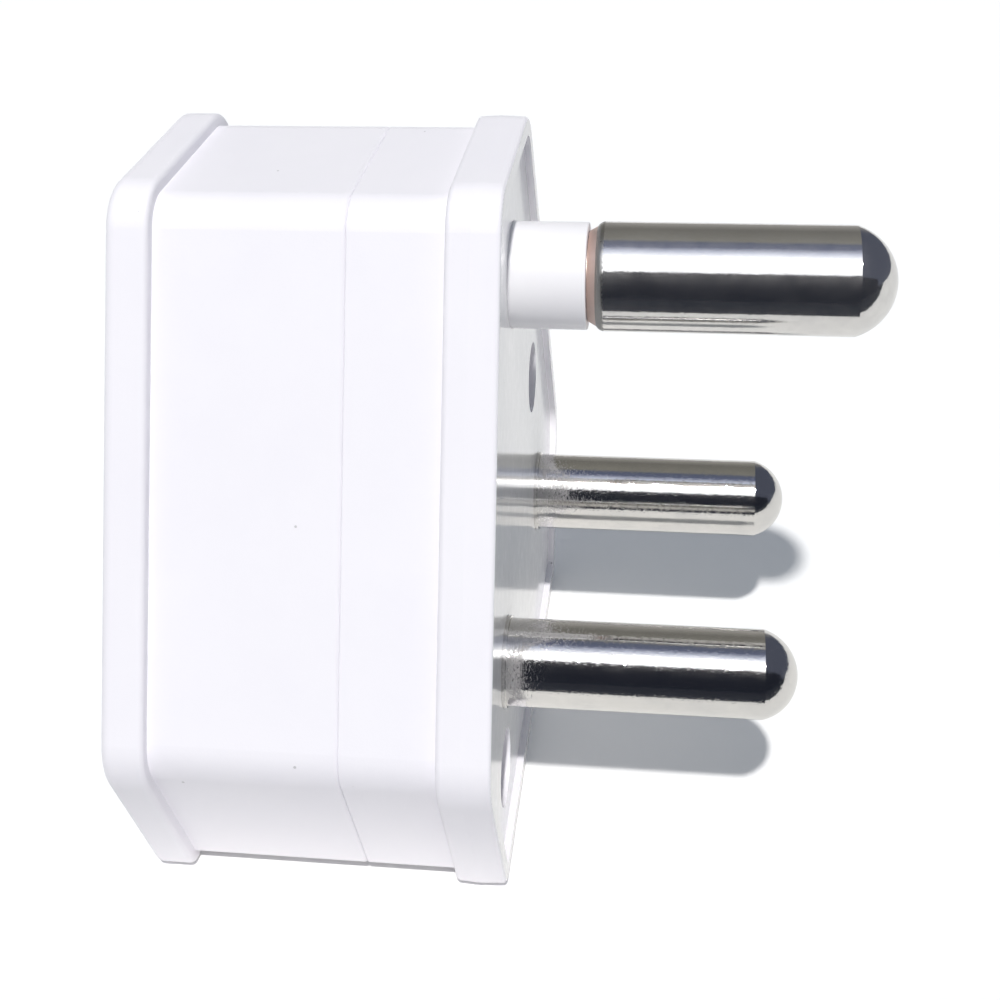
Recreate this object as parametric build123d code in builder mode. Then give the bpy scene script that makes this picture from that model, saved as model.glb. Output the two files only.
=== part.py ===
"""Plug adapter: a universal socket on the front, three heavy round pins on the back.

The body is two white mouldings, a deep front shell and a rear base, closed by two screws.
Each round pin is turned brass, plated, seated in the base by a collar and screwed to a
folded sheet contact that reaches forward to its socket aperture.

Frame, in millimetres: +X is the way the pins point, +Z is up, towards the earth pin, and
+Y is towards the neutral pin. The origin lies on the surface that the adapter stands on,
under the plane of the rear rim, half way along the whole adapter.
"""
import os

from build123d import *

os.makedirs("parts", exist_ok=True)

# Driving dimensions of the body
BODY_DEPTH = 29.3
TOP_MARGIN = 10.6
WIDEST_RISE = 0.2
TOP_HALF_WIDTH = 9.8
WIDEST_HALF_WIDTH = 28.2
BOTTOM_HALF_WIDTH = 21.7
TOP_CORNER = 4.2
SIDE_CORNER = 5.0
BOTTOM_CORNER = 2.0

# Steps along the body, measured from the rear rim or the front face
FRONT_RIM_WIDTH = 3.4
FRONT_EDGE_RADIUS = 0.9
RIM_BACK_RADIUS = 0.4
FLANGE_THICKNESS = 4.1
FLANGE_CREASE = 1.9
FLANGE_DRAFT = 3.0
FLANGE_EDGE_RADIUS = 0.35
FLANGE_BACK_RADIUS = 0.45
PARTING_DEPTH = 11.4
RIM_PROUD = 1.0
LIP_WIDTH = 1.6
FACE_RECESS = 0.6

# Moulding walls and the joint between the two shells
SHELL_WALL = 2.2
FRONT_WALL = 2.6
BASE_PLATE = 3.0
SPIGOT_WALL = 1.0
SPIGOT_REACH = 2.5
SPIGOT_FIT = 0.15
JOINT_GAP = 0.12
JOINT_FRONT_RADIUS = 0.35
JOINT_REAR_CHAMFER = 0.06
RIB_WALL = 1.4
PARTITION_RISE = 6.3

# Round pins of the 15 A pattern
PIN_SPACING = 25.4
PIN_LINE_HEIGHT = 15.8
EARTH_RISE = 28.6
PIN_RADIUS = 3.525
PIN_SHANK_RADIUS = 3.7
PIN_SHANK_PROUD = 0.3
PIN_REACH = 22.6
PIN_DOME = 2.7
EARTH_RADIUS = 4.35
EARTH_REACH = 29.3
EARTH_DOME = 3.2
PIN_BORE_FIT = 0.04
PIN_BOSS_WALL = 1.6
PIN_BOSS_LENGTH = 1.5
COLLAR_OVERLAP = 0.8
COLLAR_THICKNESS = 1.2

# Moulded sleeve of the earth pin, its core inside, and the bare cone before the full body
SLEEVE_RADIUS = 4.27
SLEEVE_REACH = 5.4
SLEEVE_SOCKET = 2.4
SLEEVE_EDGE = 0.12
CORE_RADIUS = 3.2
NECK_GAP = 0.05
NECK_DROP = 0.75
NECK_LENGTH = 0.65
SHOULDER_DROP = 0.37
SHOULDER_LENGTH = 0.65

# Terminal screws that hold the contacts to the pins
SCREW_RADIUS = 1.5
SCREW_LENGTH = 6.0
SCREW_HEAD_RADIUS = 2.6
SCREW_HEAD_HEIGHT = 1.7
SCREW_SLOT_WIDTH = 0.8
SCREW_SLOT_DEPTH = 0.8
SCREW_FIT = 0.03
WASHER_RADIUS = 2.5
WASHER_THICKNESS = 0.6
WASHER_SPLIT = 0.7
HOLE_CLEARANCE = 0.15

# Screws that close the body; places are across and up from the middle of the live pins' line
CLOSURE_UPPER = (11.2, 13.2)
CLOSURE_LOWER = (-15.7, -8.5)
CLOSURE_COUNTERBORE = 3.2
CLOSURE_SEAT_DEPTH = 8.6
CLOSURE_RADIUS = 1.5
CLOSURE_HEAD_RADIUS = 2.7
CLOSURE_HEAD_HEIGHT = 2.0
CLOSURE_LENGTH = 11.0
CLOSURE_TUBE_WALL = 0.9
BOSS_RADIUS = 3.25
BOSS_PILOT_DEPTH = 9.0

# Universal socket on the front
SOCKET_ROUND_OFFSET = 9.5
SOCKET_ROUND_RADIUS = 2.6
SOCKET_BAR_OFFSET = 11.1
SOCKET_BAR_WIDTH = 7.0
SOCKET_BAR_HEIGHT = 4.6
SOCKET_BLADE_OFFSET = 6.35
SOCKET_BLADE_WIDTH = 2.0
SOCKET_BLADE_LENGTH = 7.4
SOCKET_BLADE_TILT = 30.0
SOCKET_EARTH_RISE = 22.2
SOCKET_EARTH_WIDTH = 4.7
SOCKET_EARTH_HEIGHT = 8.8
SOCKET_EARTH_RADIUS = 3.7
SOCKET_SMALL_RISE = 11.9
SOCKET_SMALL_RADIUS = 2.6
SOCKET_LEAD_IN = 0.4

# Folded sheet contacts
SHEET = 0.5
BEND = 0.6
LEAF_WIDTH = 7.2
LEAF_INNER_EDGE = 8.2
LEAF_ROOT_GAP = 7.0
LEAF_WAIST_GAP = 3.6
LEAF_MOUTH_GAP = 5.6
LEAF_TIP_CLEARANCE = 2.2
LEAF_FLARE = 3.6
SIDE_LEAF_WIDTH = 5.6
SIDE_LEAF_ROOT = 4.9
SIDE_LEAF_WAIST = 5.5
EARTH_LEAF_WIDTH = 7.4
EARTH_WAIST_GAP = 3.6
SMALL_LEAF_WIDTH = 6.4
SMALL_WAIST_GAP = 1.6
CONTACT_END_MARGIN = 3.4

# Places worked out from the sizes above
FRONT_X = -BODY_DEPTH
FRONT_INNER_X = FRONT_X + FRONT_WALL
PARTING_X = -PARTING_DEPTH
PIN_FACE_X = -FACE_RECESS
PLATE_INNER_X = PIN_FACE_X - BASE_PLATE
SEAT_X = PLATE_INNER_X - PIN_BOSS_LENGTH
COLLAR_X = SEAT_X - COLLAR_THICKNESS
CONTACT_X = COLLAR_X - SHEET
WASHER_X = CONTACT_X - WASHER_THICKNESS
CLOSURE_SEAT_X = -CLOSURE_SEAT_DEPTH
LEAF_TIP_X = FRONT_INNER_X + LEAF_TIP_CLEARANCE
LEAF_WAIST_X = LEAF_TIP_X + LEAF_FLARE
SHELL_INSET = RIM_PROUD + SHELL_WALL
SPIGOT_INSET = SHELL_INSET + SPIGOT_FIT
BASE_INSET = SPIGOT_INSET + SPIGOT_WALL
EARTH_HEIGHT = PIN_LINE_HEIGHT + EARTH_RISE
TOP_HEIGHT = EARTH_HEIGHT + TOP_MARGIN
WIDEST_HEIGHT = PIN_LINE_HEIGHT + WIDEST_RISE
PARTITION_HEIGHT = PIN_LINE_HEIGHT + PARTITION_RISE
LINE_AXIS = (-PIN_SPACING / 2, PIN_LINE_HEIGHT)
NEUTRAL_AXIS = (PIN_SPACING / 2, PIN_LINE_HEIGHT)
EARTH_AXIS = (0, EARTH_HEIGHT)
UPPER_SCREW = (CLOSURE_UPPER[0], PIN_LINE_HEIGHT + CLOSURE_UPPER[1])
LOWER_SCREW = (CLOSURE_LOWER[0], PIN_LINE_HEIGHT + CLOSURE_LOWER[1])
CLOSURE_SCREWS = [UPPER_SCREW, LOWER_SCREW]
SHANK_RADII = {
    LINE_AXIS: PIN_SHANK_RADIUS,
    NEUTRAL_AXIS: PIN_SHANK_RADIUS,
    EARTH_AXIS: CORE_RADIUS,
}

# Section of the body seen along +X: first coordinate is Y, second is height
with BuildLine() as body_outline:
    FilletPolyline(
        (-BOTTOM_HALF_WIDTH, 0),
        (BOTTOM_HALF_WIDTH, 0),
        (WIDEST_HALF_WIDTH, WIDEST_HEIGHT),
        (TOP_HALF_WIDTH, TOP_HEIGHT),
        (-TOP_HALF_WIDTH, TOP_HEIGHT),
        (-WIDEST_HALF_WIDTH, WIDEST_HEIGHT),
        radius=[BOTTOM_CORNER, BOTTOM_CORNER, SIDE_CORNER, TOP_CORNER, TOP_CORNER, SIDE_CORNER],
        close=True,
    )


def section_plane(x):
    """Plane across the adapter at x, drawn in Y and height."""
    return Plane.YZ.offset(x)


def body_face(inset=0.0):
    """Body section drawn in by inset on every side."""
    make_face(body_outline.edges())
    if inset:
        offset(amount=-inset)


def axis_plane(axis_point):
    """Plane that holds a pin's axis, drawn in X and Y from the axis."""
    return Plane(origin=(0, axis_point[0], axis_point[1]), x_dir=(1, 0, 0), z_dir=(0, 0, 1))


def pin_axis(axis_point):
    """Line along +X through a point of the section."""
    return Axis((0, axis_point[0], axis_point[1]), (1, 0, 0))


def socket_pair(side):
    """Joined slots of one live aperture; side is -1 for line, 1 for neutral."""
    with Locations((side * SOCKET_ROUND_OFFSET, PIN_LINE_HEIGHT)):
        Circle(SOCKET_ROUND_RADIUS)
    with Locations((side * SOCKET_BAR_OFFSET, PIN_LINE_HEIGHT)):
        Rectangle(SOCKET_BAR_WIDTH, SOCKET_BAR_HEIGHT)
    with Locations((side * SOCKET_BLADE_OFFSET, PIN_LINE_HEIGHT)):
        Rectangle(SOCKET_BLADE_WIDTH, SOCKET_BLADE_LENGTH)
        Rectangle(SOCKET_BLADE_WIDTH, SOCKET_BLADE_LENGTH, rotation=side * SOCKET_BLADE_TILT)


def socket_faces():
    """Four apertures of the universal socket."""
    socket_pair(-1)
    socket_pair(1)
    with Locations((0, PIN_LINE_HEIGHT + SOCKET_EARTH_RISE)):
        Rectangle(SOCKET_EARTH_WIDTH, SOCKET_EARTH_HEIGHT)
        Circle(SOCKET_EARTH_RADIUS)
    with Locations((0, PIN_LINE_HEIGHT + SOCKET_SMALL_RISE)):
        Circle(SOCKET_SMALL_RADIUS)
        Rectangle(SOCKET_BLADE_WIDTH, SOCKET_BLADE_LENGTH)


def partition_faces():
    """Level wall under the earth contact and upright wall between the live contacts."""
    with Locations((0, PARTITION_HEIGHT)):
        Rectangle(2 * WIDEST_HALF_WIDTH, RIB_WALL)
    with Locations((0, PARTITION_HEIGHT / 2)):
        Rectangle(RIB_WALL, PARTITION_HEIGHT)


def boss_ribs():
    """Ribs that tie the screw bosses to the wall: one outwards, one down."""
    with Locations((UPPER_SCREW[0] + WIDEST_HALF_WIDTH / 2, UPPER_SCREW[1])):
        Rectangle(WIDEST_HALF_WIDTH, RIB_WALL)
    with Locations((LOWER_SCREW[0], LOWER_SCREW[1] / 2)):
        Rectangle(RIB_WALL, LOWER_SCREW[1])


# Front shell: rim band, barrel and the socket face in one moulding
with BuildPart() as front_shell:
    with BuildSketch(section_plane(FRONT_X)):
        body_face()
    extrude(amount=FRONT_RIM_WIDTH)
    fillet(front_shell.faces().sort_by(Axis.X)[0].edges(), FRONT_EDGE_RADIUS)
    fillet(front_shell.faces().sort_by(Axis.X)[-1].edges(), RIM_BACK_RADIUS)
    with BuildSketch(section_plane(FRONT_X + FRONT_RIM_WIDTH / 2)):
        body_face(RIM_PROUD)
    extrude(amount=PARTING_X - FRONT_X - FRONT_RIM_WIDTH / 2)
    with BuildSketch(section_plane(FRONT_INNER_X)):
        body_face(SHELL_INSET)
    extrude(amount=PARTING_X - FRONT_INNER_X, mode=Mode.SUBTRACT)
    with BuildSketch(section_plane(FRONT_INNER_X)):
        partition_faces()
        with Locations(*CLOSURE_SCREWS):
            Circle(BOSS_RADIUS)
        boss_ribs()
        with BuildSketch(mode=Mode.INTERSECT):
            body_face(SHELL_INSET - SHELL_WALL / 2)
    extrude(amount=PARTING_X - JOINT_GAP - FRONT_INNER_X)
    with BuildSketch(section_plane(PARTING_X - SPIGOT_REACH - JOINT_GAP)):
        body_face(SHELL_INSET)
        with BuildSketch(mode=Mode.SUBTRACT):
            body_face(BASE_INSET + SPIGOT_FIT)
    extrude(amount=SPIGOT_REACH + JOINT_GAP, mode=Mode.SUBTRACT)
    joint_face = front_shell.faces().sort_by(Axis.X)[-1]
    fillet(joint_face.outer_wire().edges(), JOINT_FRONT_RADIUS)
    with BuildSketch(section_plane(PARTING_X)):
        with Locations(*CLOSURE_SCREWS):
            Circle(CLOSURE_RADIUS + SCREW_FIT)
    extrude(amount=-BOSS_PILOT_DEPTH, mode=Mode.SUBTRACT)
    with BuildSketch(section_plane(FRONT_X)):
        socket_faces()
    extrude(amount=FRONT_WALL, mode=Mode.SUBTRACT)
    with BuildSketch(section_plane(FRONT_X)):
        socket_faces()
        offset(amount=SOCKET_LEAD_IN)
    extrude(amount=SOCKET_LEAD_IN, mode=Mode.SUBTRACT)
front_shell.part.label = "front_shell"
export_step(front_shell.part, "parts/front_shell.step")

# Rear base: flange with its recessed pin face, barrel end, spigot and seats for the pins
with BuildPart() as rear_base:
    crease_plane = section_plane(FLANGE_CREASE - FLANGE_THICKNESS)
    with BuildSketch(crease_plane):
        body_face()
    extrude(amount=FLANGE_THICKNESS - FLANGE_CREASE, taper=FLANGE_DRAFT)
    fillet(rear_base.faces().sort_by(Axis.X)[-1].edges(), FLANGE_EDGE_RADIUS)
    with BuildSketch(crease_plane):
        body_face()
    extrude(amount=-FLANGE_CREASE, taper=FLANGE_DRAFT)
    fillet(rear_base.faces().sort_by(Axis.X)[0].edges(), FLANGE_BACK_RADIUS)
    with BuildSketch(section_plane(PARTING_X)):
        body_face(RIM_PROUD)
    extrude(amount=PARTING_DEPTH - FLANGE_THICKNESS / 2)
    joint_face = rear_base.faces().sort_by(Axis.X)[0]
    chamfer(joint_face.outer_wire().edges(), JOINT_REAR_CHAMFER)
    with BuildSketch(section_plane(0)):
        body_face(LIP_WIDTH)
    extrude(amount=-FACE_RECESS, mode=Mode.SUBTRACT)
    with BuildSketch(section_plane(PARTING_X - SPIGOT_REACH)):
        body_face(SPIGOT_INSET)
    extrude(amount=SPIGOT_REACH)
    with BuildSketch(section_plane(PLATE_INNER_X)):
        body_face(BASE_INSET)
    extrude(amount=PARTING_X - SPIGOT_REACH - PLATE_INNER_X, mode=Mode.SUBTRACT)
    with BuildSketch(section_plane(PLATE_INNER_X)):
        partition_faces()
        with Locations(*CLOSURE_SCREWS):
            Circle(CLOSURE_COUNTERBORE + CLOSURE_TUBE_WALL)
        with BuildSketch(mode=Mode.INTERSECT):
            body_face(BASE_INSET - SPIGOT_WALL / 2)
    extrude(amount=PARTING_X - PLATE_INNER_X)
    with BuildSketch(section_plane(PLATE_INNER_X)):
        with Locations(LINE_AXIS, NEUTRAL_AXIS):
            Circle(PIN_SHANK_RADIUS + PIN_BOSS_WALL)
        with Locations(EARTH_AXIS):
            Circle(SLEEVE_RADIUS + PIN_BOSS_WALL)
    extrude(amount=-PIN_BOSS_LENGTH)
    for axis_point, shank_radius in SHANK_RADII.items():
        with BuildSketch(section_plane(SEAT_X)):
            with Locations(axis_point):
                Circle(shank_radius + PIN_BORE_FIT)
        extrude(amount=-SEAT_X, mode=Mode.SUBTRACT)
    with BuildSketch(section_plane(PIN_FACE_X)):
        with Locations(EARTH_AXIS):
            Circle(SLEEVE_RADIUS + PIN_BORE_FIT)
    extrude(amount=-SLEEVE_SOCKET, mode=Mode.SUBTRACT)
    with Locations(*[(PIN_FACE_X, y, z) for y, z in CLOSURE_SCREWS]):
        with Locations(Rotation(0, 90, 0)):
            CounterBoreHole(
                radius=CLOSURE_RADIUS + HOLE_CLEARANCE,
                counter_bore_radius=CLOSURE_COUNTERBORE,
                counter_bore_depth=CLOSURE_SEAT_DEPTH - FACE_RECESS,
                depth=PARTING_DEPTH - FACE_RECESS,
            )
rear_base.part.label = "rear_base"
export_step(rear_base.part, "parts/rear_base.step")


def dome(radius, height):
    """Radius of the ball whose cap has this base radius and height."""
    return (radius ** 2 + height ** 2) / (2 * height)


def tapped_hole(axis_point):
    """Hole for the terminal screw in the end of a pin."""
    with BuildSketch(section_plane(COLLAR_X)) as hole:
        with Locations(axis_point):
            Circle(SCREW_RADIUS + SCREW_FIT)
    extrude(hole.sketch, amount=SCREW_LENGTH, mode=Mode.SUBTRACT)


def live_pin(axis_point):
    """Turned pin with a seat collar, a slightly thicker shank in its bore and a domed tip."""
    shoulder = PIN_REACH - PIN_DOME
    shank_end = PIN_FACE_X + PIN_SHANK_PROUD
    with BuildPart() as pin:
        with BuildSketch(axis_plane(axis_point)):
            with BuildLine():
                Polyline(
                    (PIN_REACH, 0),
                    (COLLAR_X, 0),
                    (COLLAR_X, PIN_SHANK_RADIUS + COLLAR_OVERLAP),
                    (SEAT_X, PIN_SHANK_RADIUS + COLLAR_OVERLAP),
                    (SEAT_X, PIN_SHANK_RADIUS),
                    (shank_end, PIN_SHANK_RADIUS),
                    (shank_end, PIN_RADIUS),
                    (shoulder, PIN_RADIUS),
                )
                RadiusArc((shoulder, PIN_RADIUS), (PIN_REACH, 0), dome(PIN_RADIUS, PIN_DOME))
            make_face()
        revolve(axis=pin_axis(axis_point))
        tapped_hole(axis_point)
    return pin.part


line_pin = live_pin(LINE_AXIS)
line_pin.label = "line_pin"
export_step(line_pin, "parts/line_pin.step")

neutral_pin = live_pin(NEUTRAL_AXIS)
neutral_pin.label = "neutral_pin"
export_step(neutral_pin, "parts/neutral_pin.step")

# Earth pin: thinner where the sleeve covers it, then a bare cone and a rounded shoulder
with BuildPart() as earth_pin:
    earth_shoulder = EARTH_REACH - EARTH_DOME
    neck_start = SLEEVE_REACH + NECK_GAP
    neck_end = neck_start + NECK_LENGTH
    body_start = neck_end + SHOULDER_LENGTH
    with BuildSketch(axis_plane(EARTH_AXIS)):
        with BuildLine():
            Polyline(
                (EARTH_REACH, 0),
                (COLLAR_X, 0),
                (COLLAR_X, CORE_RADIUS + COLLAR_OVERLAP),
                (SEAT_X, CORE_RADIUS + COLLAR_OVERLAP),
                (SEAT_X, CORE_RADIUS),
                (neck_start, CORE_RADIUS),
                (neck_start, EARTH_RADIUS - NECK_DROP),
                (neck_end, EARTH_RADIUS - SHOULDER_DROP),
            )
            TangentArc(
                (body_start, EARTH_RADIUS), (neck_end, EARTH_RADIUS - SHOULDER_DROP), tangent=(-1, 0)
            )
            Line((body_start, EARTH_RADIUS), (earth_shoulder, EARTH_RADIUS))
            RadiusArc(
                (earth_shoulder, EARTH_RADIUS), (EARTH_REACH, 0), dome(EARTH_RADIUS, EARTH_DOME)
            )
        make_face()
    revolve(axis=pin_axis(EARTH_AXIS))
    tapped_hole(EARTH_AXIS)
earth_pin.part.label = "earth_pin"
export_step(earth_pin.part, "parts/earth_pin.step")

# Sleeve: a moulded bush let into the pin face round the earth pin
with BuildPart() as earth_pin_sleeve:
    with BuildSketch(section_plane(PIN_FACE_X - SLEEVE_SOCKET)):
        with Locations(EARTH_AXIS):
            Circle(SLEEVE_RADIUS)
            Circle(CORE_RADIUS + PIN_BORE_FIT, mode=Mode.SUBTRACT)
    extrude(amount=SLEEVE_REACH - PIN_FACE_X + SLEEVE_SOCKET)
    sleeve_end = earth_pin_sleeve.faces().sort_by(Axis.X)[-1]
    fillet(sleeve_end.outer_wire().edges(), SLEEVE_EDGE)
earth_pin_sleeve.part.label = "earth_pin_sleeve"
export_step(earth_pin_sleeve.part, "parts/earth_pin_sleeve.step")


def leaf_clip(plane, width, waist_gap, bend_x=COLLAR_X):
    """Sheet folded to two leaves that pinch at the waist and flare at the mouth."""
    root = LEAF_ROOT_GAP / 2 + SHEET
    with BuildSketch(plane) as section:
        with BuildLine():
            FilletPolyline(
                (LEAF_TIP_X, LEAF_MOUTH_GAP / 2 + SHEET),
                (LEAF_WAIST_X, waist_gap / 2 + SHEET),
                (bend_x - LEAF_ROOT_GAP / 2, root),
                (bend_x, root),
                (bend_x, -root),
                (bend_x - LEAF_ROOT_GAP / 2, -root),
                (LEAF_WAIST_X, -waist_gap / 2 - SHEET),
                (LEAF_TIP_X, -LEAF_MOUTH_GAP / 2 - SHEET),
                radius=BEND + SHEET,
            )
            offset(amount=SHEET, side=Side.RIGHT)
        make_face()
    extrude(section.sketch, amount=width)


# Neutral contact: two leaves above and below the pins, and one beside them for flat blades
with BuildPart() as neutral_contact:
    leaf_clip(
        Plane(origin=(0, LEAF_INNER_EDGE, PIN_LINE_HEIGHT), x_dir=(1, 0, 0), z_dir=(0, 1, 0)),
        LEAF_WIDTH,
        LEAF_WAIST_GAP,
    )
    side_plane = Plane.XY.offset(PIN_LINE_HEIGHT - SIDE_LEAF_WIDTH / 2)
    with BuildSketch(side_plane):
        with BuildLine():
            FilletPolyline(
                (LEAF_TIP_X, SIDE_LEAF_ROOT - SHEET),
                (LEAF_WAIST_X, SIDE_LEAF_WAIST - SHEET),
                (COLLAR_X - LEAF_ROOT_GAP / 2, SIDE_LEAF_ROOT - SHEET),
                (COLLAR_X, SIDE_LEAF_ROOT - SHEET),
                (COLLAR_X, LEAF_INNER_EDGE + SHEET),
                radius=BEND + SHEET,
            )
            offset(amount=SHEET, side=Side.LEFT)
        make_face()
    extrude(amount=SIDE_LEAF_WIDTH)
    with BuildSketch(section_plane(CONTACT_X)):
        with Locations(NEUTRAL_AXIS):
            Circle(SCREW_RADIUS + HOLE_CLEARANCE)
    extrude(amount=SHEET, mode=Mode.SUBTRACT)
neutral_contact.part.label = "neutral_contact"
export_step(neutral_contact.part, "parts/neutral_contact.step")

# Line contact: the same piece, made to the other hand
with BuildPart() as line_contact:
    mirror(neutral_contact.part, about=Plane.XZ)
line_contact.part.label = "line_contact"
export_step(line_contact.part, "parts/line_contact.step")

# Earth contact: a strip with a wide clip for the large earth pin and a small one below
with BuildPart() as earth_contact:
    large_low = PIN_LINE_HEIGHT + SOCKET_EARTH_RISE - EARTH_LEAF_WIDTH / 2
    small_low = PIN_LINE_HEIGHT + SOCKET_SMALL_RISE - SMALL_LEAF_WIDTH / 2
    leaf_clip(Plane.XY.offset(large_low), EARTH_LEAF_WIDTH, EARTH_WAIST_GAP)
    leaf_clip(Plane.XY.offset(small_low), SMALL_LEAF_WIDTH, SMALL_WAIST_GAP)
    strip_top = EARTH_HEIGHT + CONTACT_END_MARGIN
    with BuildSketch(section_plane(CONTACT_X)):
        with Locations((0, (small_low + strip_top) / 2)):
            Rectangle(LEAF_ROOT_GAP - 2 * BEND, strip_top - small_low)
        fillet(vertices().group_by(Axis.Y)[-1], BEND)
        with Locations(EARTH_AXIS):
            Circle(SCREW_RADIUS + HOLE_CLEARANCE, mode=Mode.SUBTRACT)
    extrude(amount=SHEET)
earth_contact.part.label = "earth_contact"
export_step(earth_contact.part, "parts/earth_contact.step")


def screw(axis_point, seat_x, shank_radius, length, head_radius, head_height):
    """Round-headed screw with a driving slot; its shank runs towards +X from the seat."""
    with BuildPart() as piece:
        with BuildSketch(section_plane(seat_x)):
            with Locations(axis_point):
                Circle(shank_radius)
        extrude(amount=length)
        with BuildSketch(section_plane(seat_x)):
            with Locations(axis_point):
                Circle(head_radius)
        extrude(amount=-head_height)
        fillet(piece.edges().group_by(Axis.X)[0], head_height / 3)
        with BuildSketch(section_plane(seat_x - head_height)):
            with Locations(axis_point):
                Rectangle(2 * head_radius, SCREW_SLOT_WIDTH)
        extrude(amount=SCREW_SLOT_DEPTH, mode=Mode.SUBTRACT)
    return piece.part


# Terminal screws: one in the inner end of each pin
with BuildPart() as terminal_screws:
    for axis_point in SHANK_RADII:
        add(
            screw(
                axis_point,
                WASHER_X,
                SCREW_RADIUS,
                SCREW_LENGTH,
                SCREW_HEAD_RADIUS,
                SCREW_HEAD_HEIGHT,
            )
        )
terminal_screws.part.label = "terminal_screws"
export_step(terminal_screws.part, "parts/terminal_screws.step")

# Spring washers: a split ring under each terminal screw
with BuildPart() as spring_washers:
    with BuildSketch(section_plane(WASHER_X)):
        with Locations(*SHANK_RADII):
            Circle(WASHER_RADIUS)
            Circle(SCREW_RADIUS + HOLE_CLEARANCE, mode=Mode.SUBTRACT)
        with Locations(*[(y, z + WASHER_RADIUS) for y, z in SHANK_RADII]):
            Rectangle(WASHER_SPLIT, 2 * WASHER_RADIUS, rotation=30, mode=Mode.SUBTRACT)
    extrude(amount=WASHER_THICKNESS)
spring_washers.part.label = "spring_washers"
export_step(spring_washers.part, "parts/spring_washers.step")

# Closure screws: driven from the pin face into the bosses of the front shell
with BuildPart() as closure_screws:
    for axis_point in CLOSURE_SCREWS:
        mirrored = screw(
            axis_point,
            -CLOSURE_SEAT_X,
            CLOSURE_RADIUS,
            CLOSURE_LENGTH,
            CLOSURE_HEAD_RADIUS,
            CLOSURE_HEAD_HEIGHT,
        )
        mirror(mirrored, about=Plane.YZ)
closure_screws.part.label = "closure_screws"
export_step(closure_screws.part, "parts/closure_screws.step")
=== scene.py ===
"""Looks of the plug adapter: camera, white table, studio light and the finish of every piece.

Lengths are in metres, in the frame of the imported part: +X is the way the pins point, +Z is up.
Texture scales are per millimetre on the pieces and per metre on the table.
"""
import math

import bpy
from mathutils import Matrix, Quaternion, Vector


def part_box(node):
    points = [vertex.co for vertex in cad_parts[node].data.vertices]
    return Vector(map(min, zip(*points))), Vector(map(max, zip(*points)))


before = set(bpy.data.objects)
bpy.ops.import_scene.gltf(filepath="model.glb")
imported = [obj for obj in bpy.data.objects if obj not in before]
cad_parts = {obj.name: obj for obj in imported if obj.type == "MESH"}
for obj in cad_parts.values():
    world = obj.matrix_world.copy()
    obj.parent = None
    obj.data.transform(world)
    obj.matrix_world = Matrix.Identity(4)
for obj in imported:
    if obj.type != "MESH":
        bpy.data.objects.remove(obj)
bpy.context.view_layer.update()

MM = 0.001

# Camera, fitted to the photograph: its frame is 1000 pixels square
PHOTO_SIZE = 1000
FOCAL_PIXELS = 1475.8
OPTICAL_CENTRE = (505, 348.5)
SENSOR_WIDTH = 36.0
CAMERA_PLACE = Vector((12.9, -106.2, 93.3)) * MM
CAMERA_LOOK = Vector((-0.1193, 0.8797, -0.4602))
CAMERA_ROLL = math.radians(-2.13)
CLIP_NEAR = 0.005
CLIP_FAR = 10

# Lamp: a small hard source over the camera
LIGHT_FROM = Vector((0.06, -0.51, 0.86))
LIGHT_SPREAD = math.radians(2.4)
LIGHT_STRENGTH = 2.68
LIGHT_COLOUR = (1.0, 0.985, 0.965)

# World: white to the camera, an even sky for light, and a room for gloss
WHITE = (1.0, 1.0, 1.0)
SKY_COLOUR = (0.243, 0.270, 0.308)

# Room about the X axis: 0 is level on the camera's side, 0.5 is straight up, and 1 is level
# behind the object. The first two colours are the bright window.
ROOM_BANDS = (
    (0.0, (1.4, 1.42, 1.45)),
    (0.36, (1.6, 1.64, 1.75)),
    (0.44, (0.70, 0.76, 0.95)),
    (0.50, (0.13, 0.15, 0.25)),
    (0.57, (0.13, 0.15, 0.22)),
    (0.60, (0.26, 0.255, 0.23)),
    (0.80, (0.20, 0.195, 0.18)),
    (1.0, (0.45, 0.44, 0.42)),
)

# Towards +X the room turns to this dark colour, while the X part of a direction goes from the
# start value to the end value
ROOM_SIDE_COLOUR = (0.09, 0.10, 0.14)
ROOM_SIDE_START = 0.2
ROOM_SIDE_END = 0.42

# White sheet that ends in front of the object, on a floor with one tone in mirrors and another
# for the light that it bounces. The glow is for the camera alone and keeps both white.
TABLE_SIZE = 4.0
SHEET_EDGE = -37 * MM
SHEET_COLOUR = (0.96, 0.95, 0.93)
SHEET_SHADE = (0.94, 0.93, 0.91)
FIBRE_SCALE = 900.0
FLOOR_COLOUR = (0.03, 0.033, 0.045)
FLOOR_BOUNCE = (0.52, 0.52, 0.53)
CAMERA_GLOW = 0.028

# The dark shape of camera and holder, which the pins mirror
SCREEN_PLACE = -115 * MM
SCREEN_TOP = 125 * MM
SCREEN_HALF_WIDTH = 0.5
SCREEN_COLOUR = (0.016, 0.019, 0.030)

# Tones of each finish: the clean one and the one that it clouds to
BODY_WHITE = ((0.945, 0.925, 0.965), (0.93, 0.91, 0.955))
FACE_WHITE = ((0.88, 0.875, 0.885), (0.87, 0.865, 0.88))
SLEEVE_WHITE = ((0.93, 0.92, 0.94), (0.92, 0.905, 0.93))
BRIGHT_NICKEL = ((0.70, 0.685, 0.655), (0.64, 0.63, 0.61))
HAZY_NICKEL = ((0.70, 0.69, 0.67), (0.64, 0.63, 0.62))
# Darker, rougher nickel for the band at the earth pin's neck
DARK_NICKEL = ((0.40, 0.395, 0.38), (0.34, 0.335, 0.32))
BARE_BRASS = ((0.80, 0.66, 0.60), (0.72, 0.58, 0.52))
CONTACT_BRASS = ((0.76, 0.58, 0.27), (0.68, 0.50, 0.24))
SCREW_STEEL = ((0.62, 0.62, 0.61), (0.55, 0.55, 0.54))

# Mouldings: how much they mirror
PLASTIC_IOR = 1.49
MATT_GLOSS = 0.3
FACE_GLOSS = 0.5

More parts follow.
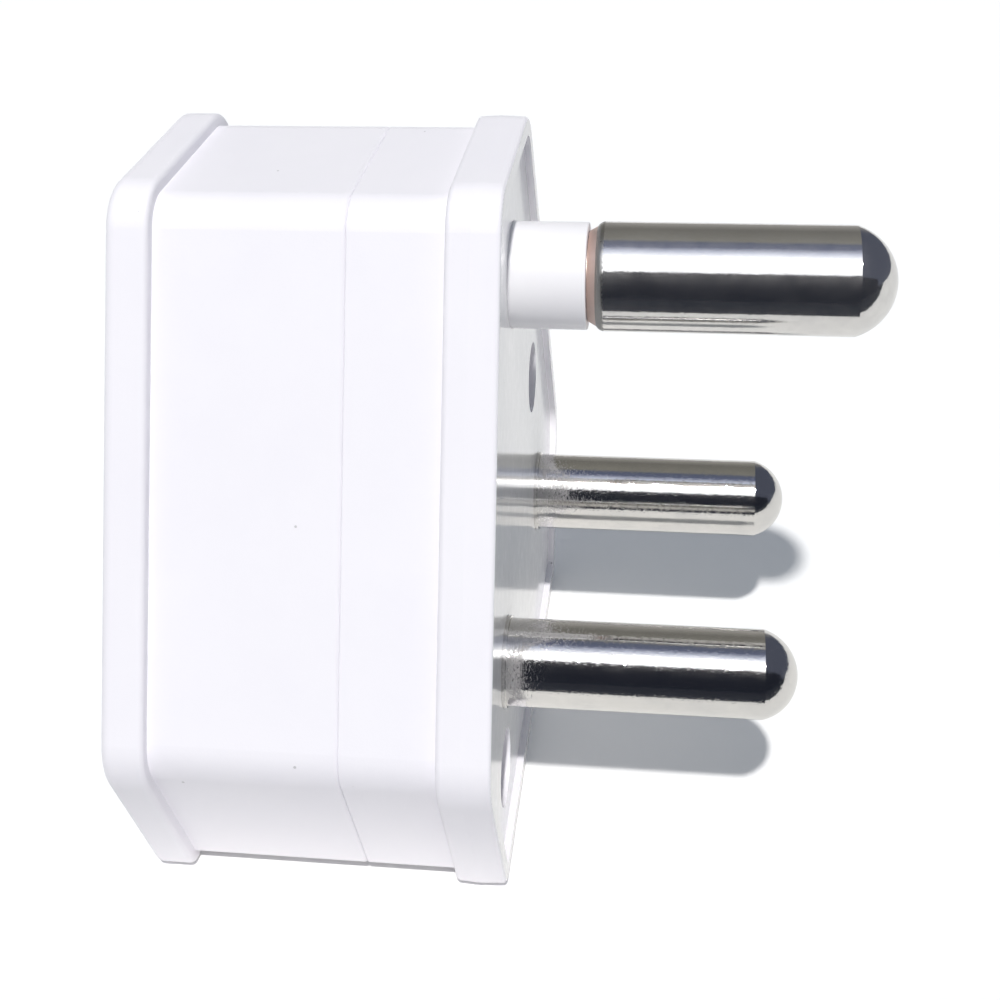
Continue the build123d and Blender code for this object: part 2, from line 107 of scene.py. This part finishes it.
# The few specks in them: cells per millimetre that may hold one, its radius as a share of the
# cell, and the random tone above which a cell holds one
DARK_SPECK = (0.64, 0.63, 0.65)
PALE_SPECK = (0.90, 0.89, 0.90)
SPECK_CELLS = 0.42
SPECK_RADIUS = 0.05
SPECK_CHOICE = 0.66

# The two halves of the body have one finish
BODY_ROUGHNESS = 0.36
BODY_GRAIN = 0.012 * MM

# Depths of the fine relief: slow waves, turning marks and drawn grain
WAVE_DEPTH = 0.02 * MM
TURNING_DEPTH = 0.004 * MM
DRAWN_DEPTH = 0.006 * MM

# Where a second finish begins on a piece: the pin face by its direction and place, and the two
# bands of the earth pin's neck by their distance from the sleeve
FACE_DIRECTION = 0.9
FACE_PLACE = -1.0 * MM
BARE_NECK = 0.7 * MM
DARK_NECK = 1.3 * MM

# An edge that turns by more than this stays sharp in the shading
SHARP_EDGE = math.radians(28)


def make_camera():
    """Camera at the photograph's viewing angle."""
    data = bpy.data.cameras.new("camera")
    data.sensor_width = SENSOR_WIDTH
    data.lens = SENSOR_WIDTH * FOCAL_PIXELS / PHOTO_SIZE
    data.shift_x = (PHOTO_SIZE / 2 - OPTICAL_CENTRE[0]) / PHOTO_SIZE
    data.shift_y = (OPTICAL_CENTRE[1] - PHOTO_SIZE / 2) / PHOTO_SIZE
    data.clip_start = CLIP_NEAR
    data.clip_end = CLIP_FAR
    camera = bpy.data.objects.new("camera", data)
    camera.location = CAMERA_PLACE
    camera.rotation_mode = "QUATERNION"
    level = CAMERA_LOOK.to_track_quat("-Z", "Y")
    camera.rotation_quaternion = level @ Quaternion((0, 0, 1), CAMERA_ROLL)
    bpy.context.scene.collection.objects.link(camera)
    bpy.context.scene.camera = camera


class Nodes:
    """Small helper that adds and links the nodes of one material or world."""

    def __init__(self, tree):
        self.tree = tree
        self.tree.nodes.clear()

    def add(self, kind, settings=None, **inputs):
        """New node; an input is a value, or another node's output to link."""
        node = self.tree.nodes.new("ShaderNode" + kind)
        for key, value in (settings or {}).items():
            setattr(node, key, value)
        for key, value in inputs.items():
            self.set(node, key.replace("_", " "), value)
        return node

    def set(self, node, key, value):
        """Sets or links the input with this name or number."""
        socket = node.inputs[key]
        if isinstance(value, bpy.types.NodeSocket):
            self.tree.links.new(value, socket)
        elif hasattr(socket.default_value, "__len__") and len(socket.default_value) == 4:
            socket.default_value = (*value[:3], 1.0)
        else:
            socket.default_value = value

    def math(self, operation, first, second):
        """Output of a Math node."""
        node = self.add("Math", {"operation": operation})
        self.set(node, 0, first)
        self.set(node, 1, second)
        return node.outputs[0]

    def mix(self, factor, first, second):
        """Output of a colour mix, whose colours are the inputs 6 and 7 of its node."""
        node = self.add("Mix", {"data_type": "RGBA"})
        self.set(node, 0, factor)
        self.set(node, 6, first)
        self.set(node, 7, second)
        return node.outputs[2]

    def blend(self, factor, first, second):
        """Mix of two shaders."""
        node = self.add("MixShader")
        self.set(node, 0, factor)
        self.set(node, 1, first.outputs[0])
        self.set(node, 2, second.outputs[0])
        return node

    def ramp(self, factor, *stops):
        """Output of a colour ramp; each stop is a place and a grey level or colour."""
        node = self.add("ValToRGB", Fac=factor)
        ramp = node.color_ramp
        while len(ramp.elements) < len(stops):
            ramp.elements.new(0.5)
        for element, (place, colour) in zip(ramp.elements, stops):
            grey = isinstance(colour, (int, float))
            element.position = place
            element.color = (colour, colour, colour, 1) if grey else (*colour, 1)
        return node.outputs[0]

    def noise(self, vector, scale, detail, roughness=0.55):
        """Output of a noise texture."""
        node = self.add("TexNoise", Vector=vector, Scale=scale, Detail=detail, Roughness=roughness)
        return node.outputs[0]

    def stretch(self, vector, scale):
        """Vector scaled by three factors."""
        return self.add("Mapping", Vector=vector, Scale=scale).outputs[0]

    def bump(self, height, distance, strength, normal=None):
        """Normal that a height field of this depth gives, on top of another one."""
        node = self.add("Bump", Height=height, Distance=distance, Strength=strength)
        if normal:
            self.set(node, "Normal", normal)
        return node.outputs[0]

    def finish(self, kind, surface):
        """Shows this shader as the surface of a material or world."""
        output = self.add("Output" + kind)
        self.set(output, "Surface", surface.outputs[0])


def start_material(name):
    """New material with its nodes."""
    material = bpy.data.materials.new(name)
    material.use_nodes = True
    return material, Nodes(material.node_tree)


def millimetres(nodes):
    """Place on the object, in millimetres."""
    place = nodes.add("TexCoord").outputs["Object"]
    return nodes.stretch(place, (1 / MM, 1 / MM, 1 / MM))


def make_plastic(name, tones, roughness, grain, speck_tone=DARK_SPECK, gloss=MATT_GLOSS):
    """White moulding: faint flow clouds, a fine moulded grain and a few specks."""
    material, nodes = start_material(name)
    place = millimetres(nodes)
    clean, clouded = tones
    clouds = nodes.noise(place, scale=0.12, detail=4)
    tone = nodes.ramp(clouds, (0.35, clouded), (0.65, clean))
    cells = nodes.add("TexVoronoi", {"feature": "F1"}, Vector=place, Scale=SPECK_CELLS)
    near = nodes.math("LESS_THAN", cells.outputs["Distance"], SPECK_RADIUS)
    chosen = nodes.math("GREATER_THAN", cells.outputs["Color"], SPECK_CHOICE)
    speck = nodes.math("MULTIPLY", near, chosen)
    wear = nodes.noise(place, scale=0.9, detail=5, roughness=0.7)
    fine = nodes.noise(place, scale=6.0, detail=2)
    waves = nodes.noise(place, scale=0.35, detail=2)
    normal = nodes.bump(fine, distance=grain, strength=0.5)
    normal = nodes.bump(waves, distance=WAVE_DEPTH, strength=0.4, normal=normal)
    shader = nodes.add("BsdfPrincipled", IOR=PLASTIC_IOR, Specular_IOR_Level=gloss, Normal=normal)
    nodes.set(shader, "Base Color", nodes.mix(speck, tone, speck_tone))
    nodes.set(shader, "Roughness", nodes.ramp(wear, (0.3, roughness - 0.05), (0.7, roughness + 0.07)))
    nodes.finish("Material", shader)
    return material


def make_plating(name, tones, grain, haze, spread):
    """Bright nickel on a turned pin: a clear mirror, a fine grain and a little haze over it."""
    material, nodes = start_material(name)
    place = millimetres(nodes)
    clean, clouded = tones
    clouds = nodes.noise(place, scale=0.3, detail=4)
    tone = nodes.ramp(clouds, (0.3, clean), (0.7, clouded))
    scuffs = nodes.noise(nodes.stretch(place, (0.35, 3.0, 3.0)), scale=1.2, detail=6, roughness=0.75)
    turning = nodes.noise(nodes.stretch(place, (9.0, 0.15, 0.15)), scale=1.0, detail=2)
    swell = nodes.noise(place, scale=0.7, detail=2)
    pits = nodes.ramp(nodes.noise(place, scale=4.5, detail=2), (0.52, 0.0), (0.72, 1.0))
    normal = nodes.bump(turning, distance=TURNING_DEPTH, strength=0.4)
    normal = nodes.bump(swell, distance=WAVE_DEPTH, strength=0.4, normal=normal)
    normal = nodes.bump(pits, distance=grain, strength=0.6, normal=normal)
    clear = nodes.add("BsdfPrincipled", Metallic=1.0, Normal=normal, Base_Color=tone)
    nodes.set(clear, "Roughness", nodes.ramp(scuffs, (0.35, 0.05), (0.75, 0.12)))
    rough = nodes.add("BsdfPrincipled", Metallic=1.0, Base_Color=tone)
    nodes.set(rough, "Roughness", nodes.ramp(scuffs, (0.35, spread), (0.75, spread + 0.1)))
    patches = nodes.noise(place, scale=0.6, detail=4, roughness=0.7)
    amount = nodes.ramp(patches, (0.35, 0.6 * haze), (0.65, 1.4 * haze))
    nodes.finish("Material", nodes.blend(amount, clear, rough))
    return material


def make_sheet_metal(name, tones, roughness):
    """Rolled or drawn metal with a drawn grain along +X."""
    material, nodes = start_material(name)
    place = millimetres(nodes)
    clean, clouded = tones
    clouds = nodes.noise(place, scale=0.5, detail=4)
    drawn = nodes.noise(nodes.stretch(place, (0.4, 8.0, 8.0)), scale=1.0, detail=4)
    normal = nodes.bump(drawn, distance=DRAWN_DEPTH, strength=0.4)
    shader = nodes.add("BsdfPrincipled", Metallic=1.0, Normal=normal)
    nodes.set(shader, "Base Color", nodes.ramp(clouds, (0.3, clean), (0.7, clouded)))
    nodes.set(shader, "Roughness", nodes.ramp(drawn, (0.3, roughness), (0.7, roughness + 0.15)))
    nodes.finish("Material", shader)
    return material


def smooth(node):
    """Smooth shading with sharp edges kept; no vertex moves."""
    mesh = node.data
    mesh.polygons.foreach_set("use_smooth", [True] * len(mesh.polygons))
    mesh.set_sharp_from_angle(angle=SHARP_EDGE)


def finish_node(name, *materials):
    """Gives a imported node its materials, of which the first covers it, and smooth shading."""
    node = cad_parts[name]
    node.data.materials.clear()
    for material in materials:
        node.data.materials.append(material)
    smooth(node)
    return node


def finish_rear_base():
    """Matt moulding, with a glossier pin face."""
    matt = make_plastic("rear_plastic", BODY_WHITE, BODY_ROUGHNESS, BODY_GRAIN)
    glossy = make_plastic(
        "pin_face_plastic", FACE_WHITE, roughness=0.10, grain=0.003 * MM, gloss=FACE_GLOSS
    )
    base = finish_node("rear_base", matt, glossy)
    for polygon in base.data.polygons:
        if polygon.normal.x > FACE_DIRECTION and polygon.center.x > FACE_PLACE:
            polygon.material_index = 1


def finish_earth_pin():
    """Hazy plating, with a bare band and then a darker, rougher band of nickel at the neck in front
    of the sleeve.
    """
    hazy = make_plating("hazy_nickel", HAZY_NICKEL, grain=0.003 * MM, haze=0.11, spread=0.48)
    bare = make_sheet_metal("bare_brass", BARE_BRASS, roughness=0.38)
    # The band after the bare one is a darker, rougher nickel
    dark_band = make_sheet_metal("dark_nickel", DARK_NICKEL, roughness=0.26)
    pin = finish_node("earth_pin", hazy, bare, dark_band)
    sleeve_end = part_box("earth_pin_sleeve")[1].x
    for polygon in pin.data.polygons:
        if polygon.center.x < sleeve_end + BARE_NECK:
            polygon.material_index = 1
        elif polygon.center.x < sleeve_end + DARK_NECK:
            polygon.material_index = 2


def finish_nodes():
    """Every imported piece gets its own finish."""
    front = make_plastic("front_plastic", BODY_WHITE, BODY_ROUGHNESS, BODY_GRAIN)
    finish_node("front_shell", front)
    finish_rear_base()
    sleeve = make_plastic(
        "sleeve_plastic", SLEEVE_WHITE, roughness=0.34, grain=0.002 * MM, speck_tone=PALE_SPECK
    )
    finish_node("earth_pin_sleeve", sleeve)
    finish_earth_pin()
    nickel = make_plating("bright_nickel", BRIGHT_NICKEL, grain=0.008 * MM, haze=0.06, spread=0.26)
    for name in ("line_pin", "neutral_pin"):
        finish_node(name, nickel)
    brass = make_sheet_metal("contact_brass", CONTACT_BRASS, roughness=0.22)
    for name in ("line_contact", "neutral_contact", "earth_contact"):
        finish_node(name, brass)
    steel = make_sheet_metal("screw_steel", SCREW_STEEL, roughness=0.25)
    for name in ("terminal_screws", "spring_washers", "closure_screws"):
        finish_node(name, steel)


def make_world():
    """White to the camera, an even sky for light, and for gloss a room with a bright window."""
    world = bpy.data.worlds.new("world")
    world.use_nodes = True
    bpy.context.scene.world = world
    nodes = Nodes(world.node_tree)
    path = nodes.add("LightPath")
    direction = nodes.add("TexCoord").outputs["Generated"]
    split = nodes.add("SeparateXYZ", Vector=direction)
    across = nodes.math("ARCTAN2", split.outputs[2], nodes.math("MULTIPLY", split.outputs[1], -1.0))
    room = nodes.ramp(nodes.math("DIVIDE", across, math.pi), *ROOM_BANDS)
    side = nodes.ramp(split.outputs[0], (ROOM_SIDE_START, 0.0), (ROOM_SIDE_END, 1.0))
    glossy = nodes.add("Background", Color=nodes.mix(side, room, ROOM_SIDE_COLOUR))
    sky = nodes.add("Background", Color=SKY_COLOUR)
    white = nodes.add("Background", Color=WHITE)
    lit = nodes.blend(path.outputs["Is Glossy Ray"], sky, glossy)
    nodes.finish("World", nodes.blend(path.outputs["Is Camera Ray"], lit, white))


def make_light():
    """The small hard source that throws the pins' shadows."""
    data = bpy.data.lights.new("key", "SUN")
    data.energy = LIGHT_STRENGTH
    data.angle = LIGHT_SPREAD
    data.color = LIGHT_COLOUR
    light = bpy.data.objects.new("key", data)
    light.rotation_mode = "QUATERNION"
    light.rotation_quaternion = LIGHT_FROM.to_track_quat("Z", "Y")
    bpy.context.scene.collection.objects.link(light)


def make_plane(name, corners, material):
    """Flat stage piece from its corners."""
    mesh = bpy.data.meshes.new(name)
    mesh.from_pydata(corners, [], [tuple(range(len(corners)))])
    mesh.materials.append(material)
    plane = bpy.data.objects.new(name, mesh)
    bpy.context.scene.collection.objects.link(plane)
    return plane


def make_table():
    """Sheet and floor; to the camera both are as white as the background, and keep the shadows."""
    material, nodes = start_material("table_white")
    path = nodes.add("LightPath")
    place = nodes.add("TexCoord").outputs["Object"]
    fibres = nodes.noise(place, scale=FIBRE_SCALE, detail=2)
    paper = nodes.ramp(fibres, (0.3, SHEET_SHADE), (0.7, SHEET_COLOUR))
    floor = nodes.mix(path.outputs["Is Diffuse Ray"], FLOOR_COLOUR, FLOOR_BOUNCE)
    back = nodes.add("SeparateXYZ", Vector=place).outputs[1]
    ground = nodes.mix(nodes.math("GREATER_THAN", back, SHEET_EDGE), floor, paper)
    bare = nodes.add("BsdfDiffuse", Color=nodes.mix(path.outputs["Is Camera Ray"], ground, WHITE))
    glow = nodes.add("Emission", Color=WHITE)
    nodes.set(glow, "Strength", nodes.math("MULTIPLY", path.outputs["Is Camera Ray"], CAMERA_GLOW))
    both = nodes.add("AddShader")
    nodes.set(both, 0, bare.outputs[0])
    nodes.set(both, 1, glow.outputs[0])
    nodes.finish("Material", both)
    half = TABLE_SIZE / 2
    corners = [(-half, -half, 0), (half, -half, 0), (half, half, 0), (-half, half, 0)]
    make_plane("table", corners, material)


def make_screen():
    """Dark upright behind the camera, seen only in reflections."""
    material, nodes = start_material("screen_black")
    nodes.finish("Material", nodes.add("Emission", Color=SCREEN_COLOUR))
    half = SCREEN_HALF_WIDTH
    low = [(-half, SCREEN_PLACE, 0), (half, SCREEN_PLACE, 0)]
    high = [(half, SCREEN_PLACE, SCREEN_TOP), (-half, SCREEN_PLACE, SCREEN_TOP)]
    screen = make_plane("screen", low + high, material)
    screen.visible_camera = False
    screen.visible_diffuse = False
    screen.visible_shadow = False
    screen.visible_transmission = False


make_camera()
make_world()
make_light()
make_table()
make_screen()
finish_nodes()
bpy.context.scene.view_settings.view_transform = "Standard"
